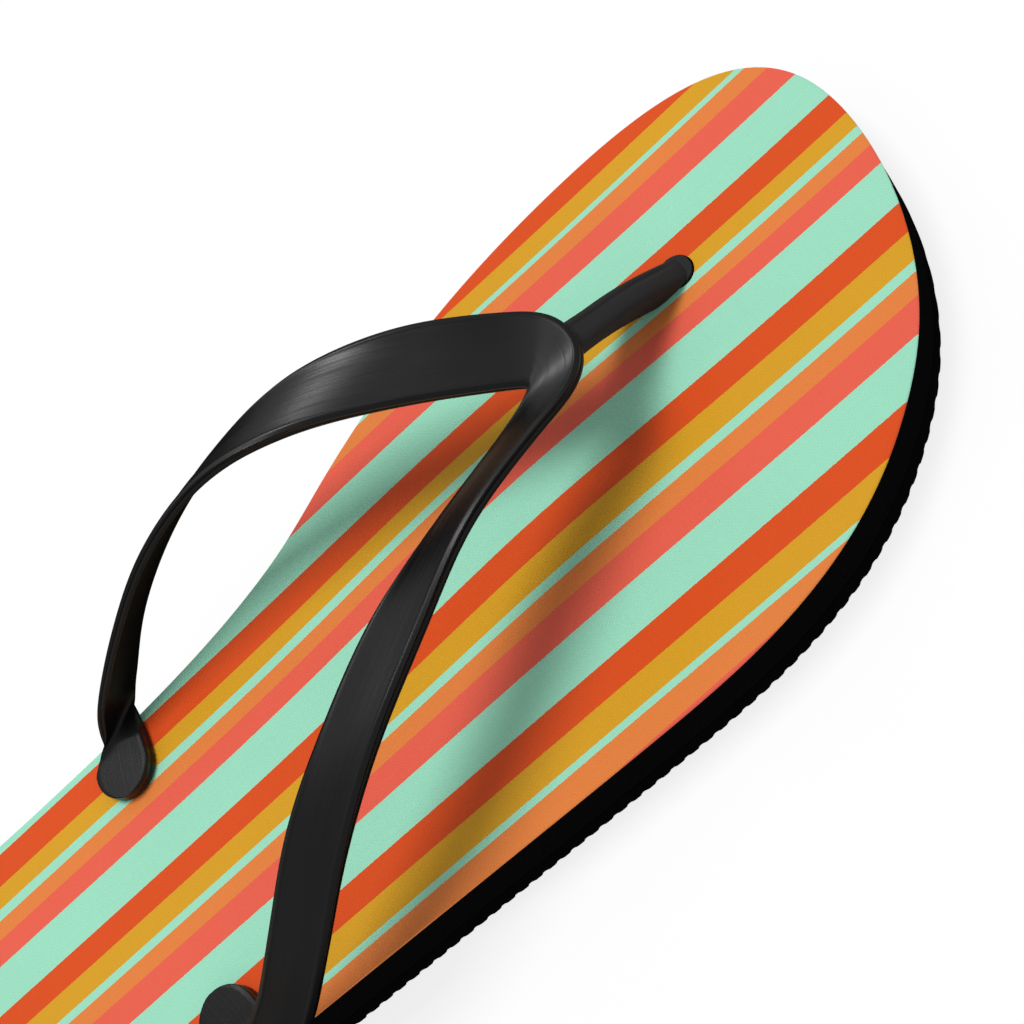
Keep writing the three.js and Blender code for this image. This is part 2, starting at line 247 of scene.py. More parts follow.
def step_lengths(line):
    """Length of each step along a line of points."""
    return np.linalg.norm(np.diff(line, axis=0), axis=1)


def full_turn(steps):
    """Angles evenly round a circle."""
    return np.linspace(0.0, 2.0 * np.pi, steps, endpoint=False)


def unit(vectors):
    return vectors / np.linalg.norm(vectors, axis=1)[:, None]


def points_of(mesh):
    """The mesh's points as rows."""
    points = np.zeros(len(mesh.vertices) * 3)
    mesh.vertices.foreach_get("co", points)
    return points.reshape(-1, 3)


def respaced(line, run, at):
    """Points of a line at the given distances along the run."""
    return np.column_stack([np.interp(at, run, line[:, k]) for k in range(3)])


def smoothstep(low, high, value):
    """0 below low and 1 above high, with a soft turn between."""
    share = np.clip((np.asarray(value, float) - low) / (high - low), 0.0, 1.0)
    return share * share * (3.0 - 2.0 * share)


def grid_quads(rows, columns, start=0, closed=False, flip=False):
    """Faces of a grid of points, numbered row by row."""
    across = columns if closed else columns - 1
    row, column = np.meshgrid(np.arange(rows - 1), np.arange(across), indexing="ij")
    a = start + row * columns + column
    b = start + row * columns + (column + 1) % columns
    quads = np.stack([a, b, b + columns, a + columns], axis=-1).reshape(-1, 4)
    return (quads[:, ::-1] if flip else quads).tolist()


def new_piece(name, points, faces):
    """A mesh object in the scene with those faces, all smooth."""
    mesh = bpy.data.meshes.new(name)
    mesh.from_pydata(np.asarray(points, float).tolist(), [], faces)
    mesh.validate()
    mesh.polygons.foreach_set("use_smooth", [True] * len(mesh.polygons))
    piece = bpy.data.objects.new(name, mesh)
    bpy.context.scene.collection.objects.link(piece)
    return piece


def sharpen(piece, degrees):
    """Marks edges that turn by more than that many degrees as sharp, and faces all outwards."""
    shape = bmesh.new()
    shape.from_mesh(piece.data)
    bmesh.ops.recalc_face_normals(shape, faces=shape.faces)
    for edge in shape.edges:
        if len(edge.link_faces) == 2:
            edge.smooth = edge.calc_face_angle(0.0) < math.radians(degrees)
    shape.to_mesh(piece.data)
    shape.free()
    piece.data.update()


def drill(piece, radius, bottom, top, steps=56):
    """Cuts a round hole at each of the three holes, from one height to the other."""
    angles = full_turn(steps)
    points, faces = [], []
    for across, ahead in HOLES:
        centre = placed((across, ahead, 0.0))
        start = len(points)
        for height in (bottom, top):
            for angle in angles:
                points.append((
                    centre[0] + radius * math.cos(angle),
                    centre[1] + radius * math.sin(angle), height,
                ))
        faces += grid_quads(2, steps, start, closed=True)
        faces.append(list(range(start + steps - 1, start - 1, -1)))
        faces.append(list(range(start + steps, start + 2 * steps)))
    cutter = new_piece(piece.name + "_drill", points, faces)
    cut = piece.modifiers.new("holes", "BOOLEAN")
    cut.object = cutter
    cut.operation = "DIFFERENCE"
    cut.solver = "MANIFOLD"
    evaluated = piece.evaluated_get(bpy.context.evaluated_depsgraph_get())
    cut_mesh = bpy.data.meshes.new_from_object(evaluated)
    piece.modifiers.clear()
    piece.data = cut_mesh
    cutter_mesh = cutter.data
    bpy.data.objects.remove(cutter)
    bpy.data.meshes.remove(cutter_mesh)
    if len(cut_mesh.polygons) == 0:
        raise RuntimeError(f"the holes left nothing of {piece.name}")


def finish_piece(piece, material, slot, *nodes):
    """Gives a piece its material and the frame nodes that it stands for. The slot is not used."""
    piece.data.materials.clear()
    piece.data.materials.append(material)
    piece.data.polygons.foreach_set("material_index", [0] * len(piece.data.polygons))
    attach(piece, "root")
    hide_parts(*nodes)


# ---------------------------------------------------------------- sole outline and layers


def spline_ring(points, count):
    """Points along a smooth closed curve through the given ones, spaced by their chords."""
    gaps = np.linalg.norm(np.roll(points, -1, axis=0) - points, axis=1)
    size = len(points)
    before = np.roll(gaps, 1)
    matrix = np.zeros((size, size))
    index = np.arange(size)
    matrix[index, index] = 2.0 * (before + gaps)
    matrix[index, index - 1] = before
    matrix[index, (index + 1) % size] = gaps
    ahead = (np.roll(points, -1, axis=0) - points) / gaps[:, None]
    bend = np.linalg.solve(matrix, 6.0 * (ahead - np.roll(ahead, 1, axis=0)))
    knots = run_along(gaps)
    at = np.linspace(0.0, knots[-1], count, endpoint=False)
    span = np.clip(np.searchsorted(knots, at, side="right") - 1, 0, size - 1)
    gap = gaps[span][:, None]
    left = (knots[span + 1] - at)[:, None]
    right = (at - knots[span])[:, None]
    near, far = points[span], points[(span + 1) % size]
    bend_near, bend_far = bend[span], bend[(span + 1) % size]
    return (
        (bend_near * left**3 + bend_far * right**3) / (6.0 * gap)
        + (near / gap - bend_near * gap / 6.0) * left
        + (far / gap - bend_far * gap / 6.0) * right
    )


def sole_outline(count=4000):
    """The sole's outline, clockwise, from the top face of the footbed node, in metres."""
    low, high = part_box("footbed")
    corners = {
        (round(v.co.x, 6), round(v.co.y, 6))
        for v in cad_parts["footbed"].data.vertices
        if abs(v.co.z - high.z) < LEVEL
    }
    points = np.array(sorted(corners))
    clear = 2.0 * bpy.context.scene.flip_flop_sole.hole_radius
    for across, ahead in HOLES:
        hole = placed((across, ahead, 0.0))[:2]
        near = np.linalg.norm(points - hole, axis=1) < 0.7 * clear
        points = points[~near]
    centre = np.array([(low.x + high.x) / 2.0, (low.y + high.y) / 2.0])
    turn = np.arctan2(points[:, 1] - centre[1], points[:, 0] - centre[0])
    return spline_ring(points[np.argsort(-turn)], count)


def sole_rows(pitch):
    """Heights along the sole with the outline's big-toe and little-toe edge at each."""
    outline = sole_outline()
    toe, heel = outline[:, 1].argmax(), outline[:, 1].argmin()
    ring = np.roll(outline, -toe, axis=0)
    split = (heel - toe) % len(outline)
    lateral, medial = ring[: split + 1], np.vstack([ring[split:], ring[:1]])
    top, bottom = ring[0], ring[split]
    tip = 4.0 * MM
    steps = tip * np.linspace(0.0, 1.0, 15)[1:] ** 2
    middle = np.arange(bottom[1] + tip + pitch, top[1] - tip, pitch)
    rows = np.concatenate([bottom[1] + steps, middle, top[1] - steps[::-1]])
    left = np.interp(rows, medial[:, 1], medial[:, 0])
    right = np.interp(rows, lateral[::-1, 1], lateral[::-1, 0])
    return rows, left, right, bottom, top


def sole_layer(name, pitch, columns, profile, relief=None):
    """One closed layer of the sole. `profile` runs from the top face to the bottom face as
    (inset, height, how fully the relief shows there); `relief` is the tread's height along it."""
    rows, left, right, heel, toe = sole_rows(pitch)
    edge = np.vstack([
        heel, np.column_stack([right, rows]), toe, np.column_stack([left, rows])[::-1],
    ])
    along = unit(np.roll(edge, -1, axis=0) - np.roll(edge, 1, axis=0))
    inward = np.column_stack([-along[:, 1], along[:, 0]])
    rise = np.zeros(len(edge)) if relief is None else relief(edge[:, 1])
    points, faces = [], []
    size, count = len(edge), len(rows)
    for inset, height, share in profile:
        ring = edge + inward * inset
        points.append(np.column_stack([ring, height + share * rise]))
    faces += grid_quads(len(profile), size, closed=True, flip=True)
    start = size * len(profile)
    for ring_index, flip in ((0, False), (len(profile) - 1, True)):
        ring = points[ring_index]
        first = ring_index * size
        inner_right, inner_left = ring[1 : count + 1], ring[count + 2 :][::-1]
        share = np.linspace(0.0, 1.0, columns)[1:-1]
        inside = (
            inner_left[:, None] * (1.0 - share[None, :, None])
            + inner_right[:, None] * share[None, :, None]
        )
        if relief is not None and flip:
            inside[..., 2] = profile[-1][1] + profile[-1][2] * relief(inside[..., 1])
        points.append(inside.reshape(-1, 3))
        row = np.arange(count)
        index = np.empty((count, columns), int)
        index[:, 0] = first + size - 1 - row
        index[:, -1] = first + 1 + row
        index[:, 1:-1] = start + row[:, None] * (columns - 2) + np.arange(columns - 2)
        start += count * (columns - 2)
        quads = np.stack(
            [index[:-1, :-1], index[:-1, 1:], index[1:, 1:], index[1:, :-1]], axis=-1
        ).reshape(-1, 4)
        heel_fan = [[first, b, a] for a, b in zip(index[0, :-1], index[0, 1:])]
        toe_point = first + count + 1
        toe_fan = [[toe_point, a, b] for a, b in zip(index[-1, :-1], index[-1, 1:])]
        patch = quads.tolist() + heel_fan + toe_fan
        faces += [face[::-1] for face in patch] if flip else patch
    return new_piece(name, np.vstack(points), faces)


def smooth_profile(pairs):
    """A layer's profile of (inset, height) that no relief reaches."""
    return [(inset, height, 0.0) for inset, height in pairs]


def layer_levels(node):
    """Bottom and top height of a sole layer's node."""
    low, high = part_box(node)
    return low.z, high.z


# ---------------------------------------------------------------- strap


def rails_of(stations, hole):
    """Inner and outer edge points of one run of stations."""
    notch, end = np.array(YOKE_NOTCH), np.array(hole)
    inner, outer = [], []
    for share, inside, outside in stations:
        place = np.append(notch * (1.0 - share) + end * share, 0.0)
        inner.append(place + inside)
        outer.append(place + outside)
    return inner, outer


def paddle_edges(hole, side, angles, strap):
    """Inner and outer edge points round a foot's end, from the middle of its hole outwards."""
    turn = strap.paddle_turn
    radius = strap.paddle_radius / MM
    ahead = np.array([side * math.cos(turn), -math.sin(turn), 0.0])
    outward = np.array([side * math.sin(turn), math.cos(turn), 0.0])
    rise = 0.3 + strap.paddle_thickness / MM / 2.0
    centre = np.array([hole[0], hole[1], rise])
    inner, outer = [], []
    for angle in angles:
        middle = centre + ahead * radius * math.sin(angle)
        half = radius * math.cos(angle)
        inner.append(middle - outward * half)
        outer.append(middle + outward * half)
    return inner, outer


def curve_through(points, steps):
    """A smooth curve through the points, with that many steps to each span."""
    points = np.asarray(points, float)
    ends = 2.0 * points[0] - points[1], 2.0 * points[-1] - points[-2]
    knots = np.vstack([ends[0], points, ends[1]])
    share = np.linspace(0.0, 1.0, steps, endpoint=False)[:, None]
    runs = []
    for a, b, c, d in zip(knots, knots[1:], knots[2:], knots[3:]):
        runs.append(0.5 * (
            2.0 * b + (c - a) * share + (2.0 * a - 5.0 * b + 4.0 * c - d) * share**2
            + (3.0 * b - a - 3.0 * c + d) * share**3
        ))
    return np.vstack([*runs, points[-1:]])


def softened(line, reach, keep):
    """The line with its small kinks smoothed out, and its ends kept as they are."""
    spread = np.arange(-3 * reach, 3 * reach + 1)
    weight = np.exp(-0.5 * (spread / reach) ** 2)
    weight /= weight.sum()
    padded = np.pad(line, ((3 * reach, 3 * reach), (0, 0)), mode="edge")
    soft = np.column_stack([np.convolve(padded[:, k], weight, mode="valid") for k in range(3)])
    return line * (1.0 - keep[:, None]) + soft * keep[:, None]


def strap_sections(strap):
    """Cross-sections from the big-toe foot over the yoke to the little-toe foot: inner edge,
    outer edge, direction of travel, distance to the nearer end, and how much it is a foot."""
    ends = np.radians(FOOT_GUIDES)
    medial_in, medial_out = rails_of(MEDIAL_STATIONS, MEDIAL_HOLE)
    lateral_in, lateral_out = rails_of(LATERAL_STATIONS, LATERAL_HOLE)
    yoke_in, yoke_out = rails_of(YOKE_STATIONS, MEDIAL_HOLE)
    first_in, first_out = paddle_edges(MEDIAL_HOLE, 1, ends, strap)
    last_in, last_out = paddle_edges(LATERAL_HOLE, -1, ends, strap)
    inner = first_in[::-1] + medial_in[::-1] + yoke_in + lateral_in + last_in
    outer = first_out[::-1] + medial_out[::-1] + yoke_out + lateral_out + last_out
    tail = (len(ends) - 1) * SPAN_STEPS
    inner = curve_through(inner, SPAN_STEPS)[tail:-tail]
    outer = curve_through(outer, SPAN_STEPS)[tail:-tail]
    run = run_along(step_lengths((inner + outer) / 2.0))
    longer_run = run_along(np.maximum(step_lengths(inner), step_lengths(outer)))
    at = np.linspace(0.0, longer_run[-1], int(longer_run[-1] / STRAP_STEP))
    inner, outer = respaced(inner, longer_run, at), respaced(outer, longer_run, at)
    run = np.interp(at, longer_run, run)
    from_end = np.minimum(run, run[-1] - run)
    keep = smoothstep(*SOFT_ZONE, from_end)
    inner, outer = softened(inner, SOFT_REACH, keep), softened(outer, SOFT_REACH, keep)
    travel = np.gradient((inner + outer) / 2.0, axis=0)
    foot = 1.0 - smoothstep(*FOOT_ZONE, from_end)
    reach = from_end + strap.paddle_radius / MM
    round_angles = np.radians(FOOT_END)
    parts = []
    for hole, side, sign in ((MEDIAL_HOLE, 1, -1.0), (LATERAL_HOLE, -1, 1.0)):
        tip_in, tip_out = paddle_edges(hole, side, round_angles, strap)
        turn = strap.paddle_turn
        ahead = np.array([side * math.cos(turn), -math.sin(turn), 0.0]) * sign
        radius = strap.paddle_radius / MM
        parts.append((
            np.array(tip_in), np.array(tip_out), np.tile(ahead, (len(round_angles), 1)),
            radius * (1.0 - np.sin(round_angles)), np.ones(len(round_angles)),
        ))
    body = (inner, outer, travel, reach, foot)
    return [
        np.concatenate([head[::-1], middle_part, tail_part])
        for head, middle_part, tail_part in zip(parts[0], body, parts[1])
    ]


def strap_face_height(distance, half_thickness, foot, strap):
    """Height of the upper face above the strap's middle, by distance from the rim."""
    width, drop = strap.bevel_width / MM, strap.bevel_drop / MM
    bend, lip_height, lip_in, lip_spread = 1.2, 0.09, 0.15, 0.22
    dish_start, dish_end, crown_reach = 0.1, 2.6, 6.5
    slope = drop * (1.0 - np.clip(distance / width, 0.0, 1.0)) ** bend
    lip = lip_height * np.exp(-(((distance - width - lip_in) / lip_spread) ** 2))
    dish = smoothstep(width + dish_start, width + dish_end, distance)
    hollow = (strap.dish_depth / MM) * dish * foot
    crown = (strap.crown / MM) * smoothstep(width, crown_reach, distance) * (1.0 - foot)
    return half_thickness - slope + lip - hollow + crown


def strap_band(strap):
    """Points, faces and lengthwise coordinates of the strap's one continuous band."""
    inner, outer, travel, reach, foot = strap_sections(strap)
    travel = unit(travel)
    across = outer - inner
    half = np.linalg.norm(across, axis=1) / 2.0
    across /= (2.0 * half)[:, None]
    up = unit(np.cross(travel, across))
    middle = (inner + outer) / 2.0
    thick = np.interp(foot, [0.0, 1.0], [strap.thickness / MM, strap.paddle_thickness / MM])
    middle = middle - np.outer(FOOT_SINK * foot, [0.0, 0.0, 1.0])
    squeeze = np.minimum(1.0, half / MARGIN_ROOM)[:, None]
    from_edge = np.array(MARGIN)[None, :] * squeeze
    true_edge = np.minimum(from_edge, reach[:, None])
    high = (thick / 2.0)[:, None]
    face = strap_face_height(true_edge, high, foot[:, None], strap)
    centre_edge = np.minimum(half, reach)[:, None]
    centre = strap_face_height(centre_edge, high, foot[:, None], strap)
    level = face[:, :1]
    part = np.minimum(1.0, half / WALL_ROOM)[:, None]
    wall_out = np.array(WALL_RELIEF)[None, :] * part
    flat, seam = level * 0, 0.16
    wall_up = np.column_stack([
        level * 0.55 + 0.1, flat + seam, flat, flat - seam, -high + 0.36, -high + 0.1, -high,
    ])
    h = half[:, None]
    under = np.linspace(0.8, -0.8, 5)[None, :] * h
    hollow_under = np.tile(-high, (1, 5)) + UNDER_HOLLOW * (1.0 - foot[:, None])
    out = np.hstack([
        -h + from_edge, 0.0 * h, (h - from_edge)[:, ::-1], h + wall_out, under,
        (-h - wall_out)[:, ::-1],
    ])
    lift = np.hstack([face, centre, face[:, ::-1], wall_up, hollow_under, wall_up[:, ::-1]])
    points = (
        middle[:, None, :] + out[..., None] * across[:, None, :] + lift[..., None] * up[:, None, :]
    )
    rows, columns = out.shape
    faces = grid_quads(rows, columns, closed=True, flip=True)
    faces.append(list(range(columns)))
    faces.append(list(range(rows * columns - 1, (rows - 1) * columns - 1, -1)))
    length_run = run_along(step_lengths(middle))
    lengthwise = np.stack([np.repeat(length_run[:, None], columns, axis=1), out], axis=-1)
    return points.reshape(-1, 3), faces, lengthwise.reshape(-1, 2)


def turned(profile, centre, steps=64):
    """Points and faces of a round plug: `profile` runs down it as (radius, height)."""
    angles = full_turn(steps)
    points = [
        (centre[0] + radius * math.cos(a), centre[1] + radius * math.sin(a), height)
        for radius, height in profile for a in angles
    ]
    faces = grid_quads(len(profile), steps, closed=True, flip=True)
    faces.append(list(range(steps)))
    faces.append(list(range(len(points) - 1, len(points) - steps - 1, -1)))
    return np.array(points), faces


def plug_profile(strap, top):
    """Neck and button below the sole, as (radius, height above the cover), in millimetres."""
    sole_height = layer_levels("fabric_cover")[1] / MM
    face = strap.button_recess / MM - sole_height
    rim = face + strap.button_thickness / MM
    neck, button = strap.neck_radius / MM, strap.button_radius / MM
    return [
        (neck, top), (neck, rim + 0.5), (neck + 0.15, rim + 0.15), (neck + 0.5, rim),
        (button - 0.5, rim), (button - 0.15, rim - 0.15), (button, rim - 0.5),
        (button, face + 0.6), (button - 0.18, face + 0.2), (button - 0.6, face),
        (button - 1.5, face), (button - 1.7, face + 0.25), (button - 2.1, face + 0.25),
        (button - 2.3, face), (1.4, face + 0.05), (0.9, face + 0.3), (0.25, face + 0.35),
    ]


def join_parts(parts):
    """Points, faces and coordinates of several closed shells as one set."""
    points, faces, coordinates, start = [], [], [], 0
    for part_points, part_faces, part_coordinates in parts:
        points.append(part_points)
        coordinates.append(part_coordinates)
        faces += [[index + start for index in face] for face in part_faces]
        start += len(part_points)
    return np.vstack(points), faces, np.vstack(coordinates)


def add_coordinates(piece, name, coordinates):
    """Writes one pair of coordinates per point as a UV map, in millimetres."""
    layer = piece.data.uv_layers.new(name=name)
    corner = np.zeros(len(piece.data.loops), np.int32)
    piece.data.loops.foreach_get("vertex_index", corner)
    layer.data.foreach_set("uv", np.asarray(coordinates, np.float32)[corner].ravel())


def post_rings(strap, count=46, around=72):
    """Level cuts of the toe post from the cover up to the yoke, with its lengthwise crease."""
    foot = np.array([*TOE_HOLE, 0.0]) + POST_FOOT
    head = np.append(np.array(YOKE_NOTCH) + POST_HEAD, POST_HEAD_RISE)
    angles = full_turn(around)
    side = np.sign(np.cos(angles)) * np.abs(np.cos(angles)) ** POST_SQUARENESS
    front = np.sign(np.sin(angles)) * np.abs(np.sin(angles)) ** POST_SQUARENESS
    rings = []
    for share in np.linspace(0.0, 1.0, count):
        bow = math.sin(math.pi * share)
        middle = foot * (1.0 - share) + head * share
        middle[:2] += np.array(POST_BOW) * bow
        half_width = (strap.post_foot_width * (1.0 - share) + strap.post_head_width * share) / 2.0
        half_length = (
            strap.post_foot_length * (1.0 - share) + strap.post_head_length * share
        ) / 2.0
        x = side * half_width / MM
        y = front * half_length / MM
        from_crease = (x / (half_width / MM) + CREASE_PLACE) / CREASE_SPREAD
        crease = np.exp(-(from_crease ** 2)) * (front > 0)
        depth = CREASE_DEPTH * smoothstep(0.0, 0.2, share)
        y -= depth * crease
        rings.append(np.column_stack([
            middle[0] + x, middle[1] + y, np.full(around, middle[2]),
        ]))
    return seated_under_yoke(np.array(rings), strap)


def seated_under_yoke(rings, strap):
    """The post's level cuts with its upper end stretched to meet the yoke's underside."""
    points, faces, _ = strap_band(strap)
    yoke = BVHTree.FromPolygons(points.tolist(), faces)
    below, up = Vector((0.0, 0.0, -4.0)), Vector((0.0, 0.0, 1.0))
    hits = [yoke.ray_cast(Vector(point) + below, up)[0] for point in rings[-1]]
    heights = np.array([np.nan if hit is None else hit.z for hit in hits])
    heights[np.isnan(heights)] = np.nanmean(heights)
    lift = heights - YOKE_CLEARANCE - rings[-1, :, 2]
    share = smoothstep(0.7, 1.0, np.linspace(0.0, 1.0, len(rings)))
    rings[:, :, 2] += share[:, None] * lift[None, :]
    return rings


# ---------------------------------------------------------------- materials


class Shade:
    """A short way to write a material's nodes."""

    def __init__(self, name):
        self.material = bpy.data.materials.new(name)
        self.material.use_nodes = True
        self.tree = self.material.node_tree
        self.surface = self.tree.nodes["Principled BSDF"]

    def node(self, kind, inputs=None, **settings):
        """A node with its settings, and each input as a value or a linked socket."""
        made = self.tree.nodes.new(kind)
        for key, value in settings.items():
            setattr(made, key, value)
        for key, value in (inputs or {}).items():
            self.put(made.inputs[key], value)
        return made

    def put(self, socket, value):
        if isinstance(value, bpy.types.NodeSocket):
            self.tree.links.new(value, socket)
        else:
            socket.default_value = value

    def math(self, operation, first, second=0.0):
        inputs = {0: first, 1: second}
        return self.node("ShaderNodeMath", inputs, operation=operation).outputs[0]

    def place(self):
        return self.node("ShaderNodeTexCoord").outputs["Object"]

    def times(self, first, second):
        return self.math("MULTIPLY", first, second)

    def plus(self, first, second):
        return self.math("ADD", first, second)

    def noise(self, vector, scale, detail=2.0, roughness=0.5):
        return self.node("ShaderNodeTexNoise", {
            "Vector": vector, "Scale": scale, "Detail": detail, "Roughness": roughness,
        }).outputs["Fac"]

    def stretched(self, vector, scale):
        return self.node("ShaderNodeMapping", {
            "Vector": vector, "Scale": scale,
        }, vector_type="POINT").outputs[0]

    def span(self, value, low, high):
        """A 0 to 1 value spread from low to high."""
        return self.node("ShaderNodeMapRange", {
            "Value": value, "To Min": low, "To Max": high,
        }).outputs[0]

    def bump(self, height, strength, distance):
        return self.node("ShaderNodeBump", {
            "Height": height, "Strength": strength, "Distance": distance,
        }).outputs[0]

    def mix(self, share, first, second, blend="MIX"):
        made = self.node("ShaderNodeMix", {}, data_type="RGBA", blend_type=blend)
        self.put(made.inputs[0], share)
        self.put(made.inputs[6], first)
        self.put(made.inputs[7], second)
        return made.outputs[2]

    def finish(self, colour, roughness, normal, **fixed):
        self.put(self.surface.inputs["Base Color"], colour)
        self.put(self.surface.inputs["Roughness"], roughness)
        self.put(self.surface.inputs["Normal"], normal)
        for key, value in fixed.items():
            self.surface.inputs[key.replace("_", " ")].default_value = value
        return self.material


def paint(colour):
    return (*colour, 1.0)


def shaded(colour, strength):
    return paint([part * strength for part in colour])


def printed_canvas(finish):
    """Plain-weave canvas with the stripes printed on it and painted shade darkening the gaps
    between its threads; its map is in millimetres.
    """
    shade = Shade("printed_canvas")
    place = shade.node("ShaderNodeUVMap", uv_map="cloth").outputs[0]
    print_place = shade.node("ShaderNodeUVMap", uv_map="print").outputs[0]
    split = shade.node("ShaderNodeSeparateXYZ", {0: place})
    across, ahead = split.outputs[0], split.outputs[1]
    thread = finish.thread_pitch / MM
    turn = math.pi / thread
    warp = shade.math("SINE", shade.times(across, turn))
    weft = shade.math("SINE", shade.times(ahead, turn))
    crossing = shade.times(warp, weft)
    over = shade.span(crossing, 0.5, 1.0)
    gaps = shade.times(shade.math("ABSOLUTE", warp), shade.math("ABSOLUTE", weft))
    weave = shade.plus(shade.times(over, 0.6), shade.times(gaps, 0.5))
    warp_slub = shade.noise(shade.stretched(place, (1.6, 0.09, 1.0)), 1.0, 3.0)
    weft_slub = shade.noise(shade.stretched(place, (0.09, 1.6, 1.0)), 1.0, 3.0)
    slub = shade.times(shade.plus(warp_slub, weft_slub), 0.5)
    fuzz = shade.noise(place, 5.0, 2.0, 0.7)
    bleed = shade.noise(shade.stretched(place, (1.2, 2.2, 1.0)), 1.0, 2.0)
    edge = shade.node("ShaderNodeSeparateXYZ", {0: print_place}).outputs[0]
    edge = shade.plus(edge, shade.times(shade.math("SUBTRACT", bleed, 0.5), 0.22))
    low, high = PRINT_SPAN
    share = shade.node("ShaderNodeMapRange", {
        "Value": edge, "From Min": low, "From Max": high, "To Min": 0.0, "To Max": 1.0,
    }).outputs[0]
    ramp = shade.node("ShaderNodeValToRGB", {0: share})
    inks = ramp.color_ramp
    inks.interpolation = "CONSTANT"
    start = 0.0
    for index, (ink, end) in enumerate(STRIPES):
        stop = inks.elements[index] if index < 2 else inks.elements.new(start)
        stop.position = start
        stop.color = paint(getattr(finish, ink))
        start = (end - low) / (high - low)
    dye = ramp.outputs[0]
    # Painted shade: the ink is darker where the weave is low, between the threads; blotch and slub
    # are random tone of the cloth.
    depth = shade.span(weave, 0.86, 1.03)
    blotch = shade.span(shade.noise(place, 0.035, 3.0), 0.965, 1.035)
    weave_shade_and_blotch = shade.times(depth, blotch)
    strength = shade.times(weave_shade_and_blotch, shade.span(slub, 0.95, 1.05))
    tone = shade.node("ShaderNodeCombineXYZ", {0: strength, 1: strength, 2: strength}).outputs[0]
    dye_with_weave_shade = shade.mix(1.0, dye, tone, "MULTIPLY")
    height = shade.plus(weave, shade.times(slub, 0.8))
    height = shade.plus(height, shade.times(fuzz, 0.25))
    normal = shade.bump(height, 0.5, 0.12 * MM)
    roughness = shade.span(slub, 0.78, 0.95)
    return shade.finish(dye_with_weave_shade, roughness, normal, Sheen_Weight=0.06, Sheen_Roughness=0.5,
                        Specular_IOR_Level=0.25)


def moulded_rubber(finish):
    """Dull moulded rubber with a fine spark-eroded texture and dusty high spots."""
    shade = Shade("moulded_rubber")
    place = shade.place()
    grain = shade.noise(place, 2600.0, 3.0, 0.6)
    flow = shade.noise(place, 90.0, 4.0)
    scuff = shade.noise(shade.stretched(place, (900.0, 120.0, 300.0)), 1.0, 3.0)
    worn = shade.times(shade.span(scuff, -0.6, 1.0), shade.span(flow, 0.0, 0.5))
    worn = shade.math("MAXIMUM", worn, 0.0)
    tone = shade.mix(worn, paint(finish.rubber), shaded(finish.rubber, 3.0))
    height = shade.plus(grain, shade.times(flow, 0.5))
    return shade.finish(tone, shade.span(flow, 0.62, 0.85), shade.bump(height, 0.35, 0.05 * MM),
                        Specular_IOR_Level=0.01)


def cut_foam(finish):
    """Closed-cell foam with its cells cut open along the side, and painted shade darkening the
    hollow of each open cell.
    """
    shade = Shade("cut_foam")
    place = shade.place()
    cells = shade.node("ShaderNodeTexVoronoi", {"Vector": place, "Scale": 1900.0})
    pore_depth_and_shade = shade.node("ShaderNodeMapRange", {
        "Value": cells.outputs["Distance"], "From Min": 0.0, "From Max": 0.55,
    }).outputs[0]
    big = shade.noise(place, 260.0, 4.0)
    skive = shade.noise(shade.stretched(place, (60.0, 60.0, 1500.0)), 1.0, 3.0)
    # Painted shade: the foam is darker in the middle of each open cell; the same mask also gives
    # the cells their bump.
    tone = shade.mix(pore_depth_and_shade, shaded(finish.foam, 0.55), shaded(finish.foam, 1.25))
    height = shade.plus(pore_depth_and_shade, shade.plus(big, skive))
    return shade.finish(tone, shade.span(big, 0.78, 0.95), shade.bump(height, 0.4, 0.07 * MM),
                        Specular_IOR_Level=0.01)


def brushed_vinyl(finish, name="brushed_vinyl", dull_and_lit=0.0):
    """Soft black vinyl with a fine grain along the strap and a satin shine. A piece made matt
    spreads its reflections and is greyer: painted light, a lighter copy of the same vinyl standing
    in for its lit face."""
    shade = Shade(name)
    # Painted light: with the third argument set, the black is raised up to 7.5 times, a lighter
    # copy of the same vinyl for the toe post's lit face.
    black = [c * (1.0 + 6.5 * dull_and_lit) for c in finish.vinyl]
    run = shade.node("ShaderNodeUVMap", uv_map="grain").outputs[0]
    place = shade.place()
    fine = shade.noise(shade.stretched(run, (0.03, 1.9, 1.0)), 1.0, 4.0, 0.65)
    broad = shade.noise(shade.stretched(run, (0.02, 0.7, 1.0)), 1.0, 3.0)
    pebble = shade.noise(place, 1500.0, 2.0)
    smudge = shade.noise(place, 70.0, 3.0)
    height = shade.plus(fine, shade.times(broad, 0.7))
    height = shade.plus(height, shade.times(pebble, 0.15))
    normal = shade.bump(height, 0.3, 0.09 * MM)
    streak = shade.times(shade.plus(fine, broad), 0.5)
    roughness = shade.math(
        "ADD", shade.span(streak, 0.12 + 0.35 * dull_and_lit, 0.56 + 0.35 * dull_and_lit),
        shade.times(smudge, 0.06)
    )
    tone = shade.mix(streak, shaded(black, 0.6), shaded(black, 1.5))
    return shade.finish(tone, roughness, normal, Specular_IOR_Level=0.28 - 0.18 * dull_and_lit)


def seamless_white():
    """The pale floor."""
    shade = Shade("seamless_white")
    place = shade.place()
    paper = shade.noise(place, 30.0, 3.0)
    tone = shade.mix(paper, (0.2, 0.2, 0.2, 1.0), (0.22, 0.22, 0.22, 1.0))
    return shade.finish(tone, 0.9, shade.bump(paper, 0.02, 0.1 * MM), Specular_IOR_Level=0.0,
                        Emission_Color=(1.0, 1.0, 1.0, 1.0), Emission_Strength=0.8)


# ---------------------------------------------------------------- operators


